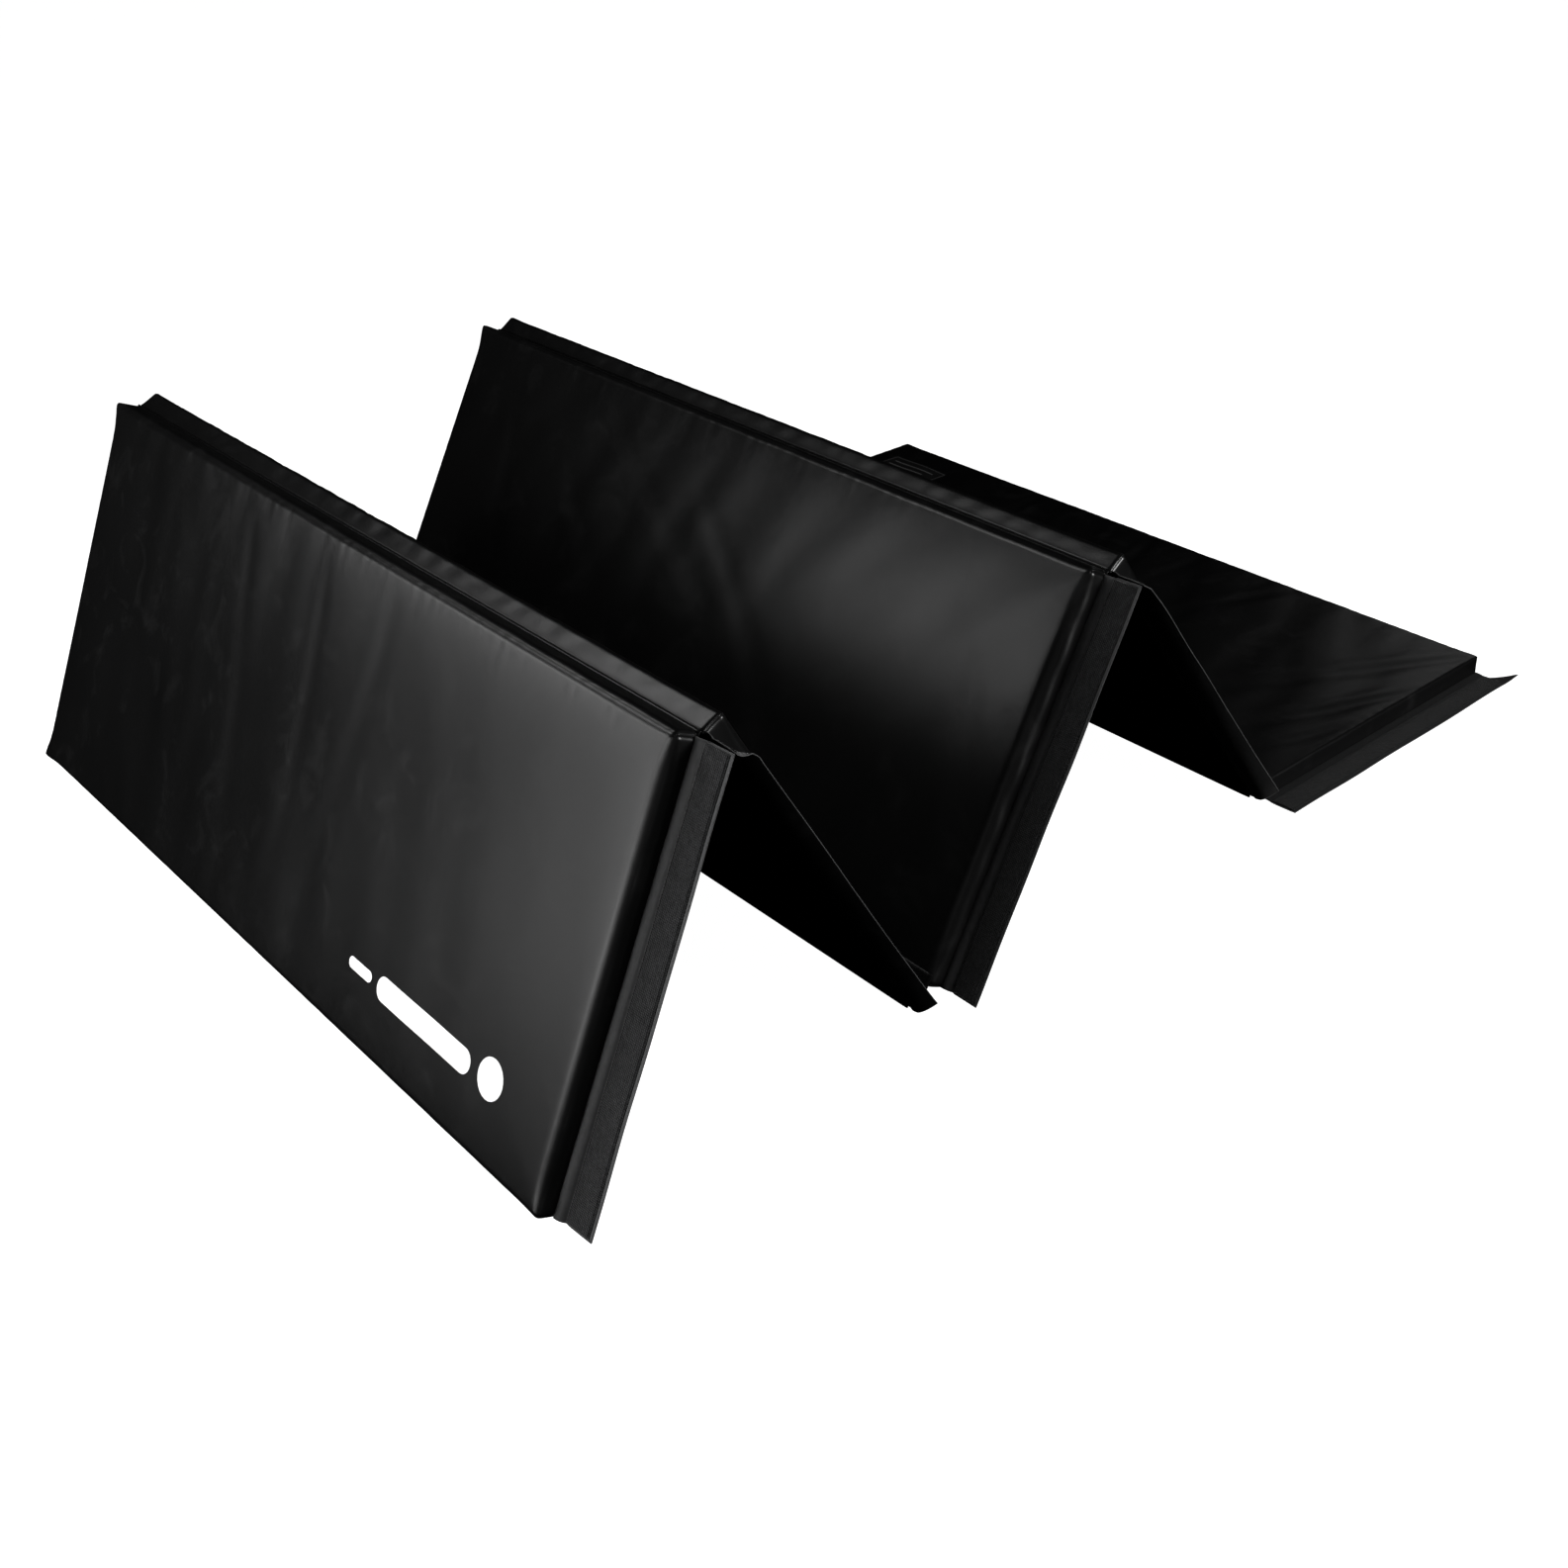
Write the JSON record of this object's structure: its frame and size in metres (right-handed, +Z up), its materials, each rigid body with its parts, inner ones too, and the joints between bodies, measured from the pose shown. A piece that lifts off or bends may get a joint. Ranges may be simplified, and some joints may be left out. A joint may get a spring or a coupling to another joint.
{
  "type": "folding gym mat",
  "caption": "Padded floor mat of vinyl-covered foam panels that fold on fabric hinges into a stack, with fastening flaps along one side for joining mats, standing in a zigzag",
  "frame": {"origin": "the floor under the middle of the bounding box of the mat as it stands in its zigzag", "axes": "+X along the folds towards the end with the flaps, +Y along the mat towards the panel that lies flat, +Z up"},
  "size_m": [1.585, 1.9388, 0.5555],
  "materials": {
    "vinyl": "satin",
    "foam": "matte",
    "loop": "matte",
    "hook": "matte",
    "label": "satin"
  },
  "bodies": {
    "panel_1": {"cover_1": "vinyl", "foam_core_1": "foam", "base_sheet_1": "vinyl", "hook_strip_1": "hook", "fold_strip_1_2": "vinyl"},
    "flap_1": {"end_flap_1": "vinyl", "loop_strip_1": "loop"},
    "panel_2": {"cover_2": "vinyl", "foam_core_2": "foam", "base_sheet_2": "vinyl", "hook_strip_2": "hook", "fold_strip_2_3": "vinyl"},
    "flap_2": {"end_flap_2": "vinyl", "loop_strip_2": "loop"},
    "panel_3": {"cover_3": "vinyl", "foam_core_3": "foam", "base_sheet_3": "vinyl", "hook_strip_3": "hook", "fold_strip_3_4": "vinyl"},
    "flap_3": {"end_flap_3": "vinyl", "loop_strip_3": "loop"},
    "panel_4": {"cover_4": "vinyl", "foam_core_4": "foam", "base_sheet_4": "vinyl", "hook_strip_4": "hook", "fold_strip_4_5": "vinyl"},
    "flap_4": {"end_flap_4": "vinyl", "loop_strip_4": "loop"},
    "panel_5": {"cover_5": "vinyl", "foam_core_5": "foam", "base_sheet_5": "vinyl", "hook_strip_5": "hook", "care_label": "label"},
    "flap_5": {"end_flap_5": "vinyl", "loop_strip_5": "loop"}
  },
  "joints": [
    {"name": "fold_4_5", "type": "hinge", "parent": "panel_5", "child": "panel_4", "pos_m": [-0.0305, 0.36181, 0.0364], "axis": [-1, 0, 0], "range_deg": [-55.8, 124.2], "deforming": ["fold_strip_4_5"]},
    {"name": "fold_3_4", "type": "hinge", "parent": "panel_4", "child": "panel_3", "pos_m": [-0.0305, -0.01218, 0.51928], "axis": [1, 0, 0], "range_deg": [-114.66, 65.34], "deforming": ["fold_strip_3_4"]},
    {"name": "fold_2_3", "type": "hinge", "parent": "panel_3", "child": "panel_2", "pos_m": [-0.0305, -0.35984, 0.01711], "axis": [-1, 0, 0], "range_deg": [-121.96, 58.04], "deforming": ["fold_strip_2_3"]},
    {"name": "fold_1_2", "type": "hinge", "parent": "panel_2", "child": "panel_1", "pos_m": [-0.0305, -0.66944, 0.5436], "axis": [1, 0, 0], "range_deg": [-126.71, 53.29], "deforming": ["fold_strip_1_2"]},
    {"name": "flap_1_fold", "type": "hinge", "parent": "panel_1", "child": "flap_1", "pos_m": [0.7343, -0.80681, 0.27151], "axis": [0, 0.4445, 0.8958], "range_deg": [-90, 0]},
    {"name": "flap_2_fold", "type": "hinge", "parent": "panel_2", "child": "flap_2", "pos_m": [0.7343, -0.52967, 0.27273], "axis": [0, 0.4524, -0.8918], "range_deg": [-90, 0]},
    {"name": "flap_3_fold", "type": "hinge", "parent": "panel_3", "child": "flap_3", "pos_m": [0.7343, -0.17159, 0.25949], "axis": [0, 0.5171, 0.8559], "range_deg": [-90, 0]},
    {"name": "flap_4_fold", "type": "hinge", "parent": "panel_4", "child": "flap_4", "pos_m": [0.7343, 0.16088, 0.26837], "axis": [0, 0.5621, -0.8271], "range_deg": [-90, 0]},
    {"name": "flap_5_fold", "type": "hinge", "parent": "panel_5", "child": "flap_5", "pos_m": [0.7343, 0.66661, 0.0006], "axis": [0, 1, 0], "range_deg": [-90, 0]}
  ]
}
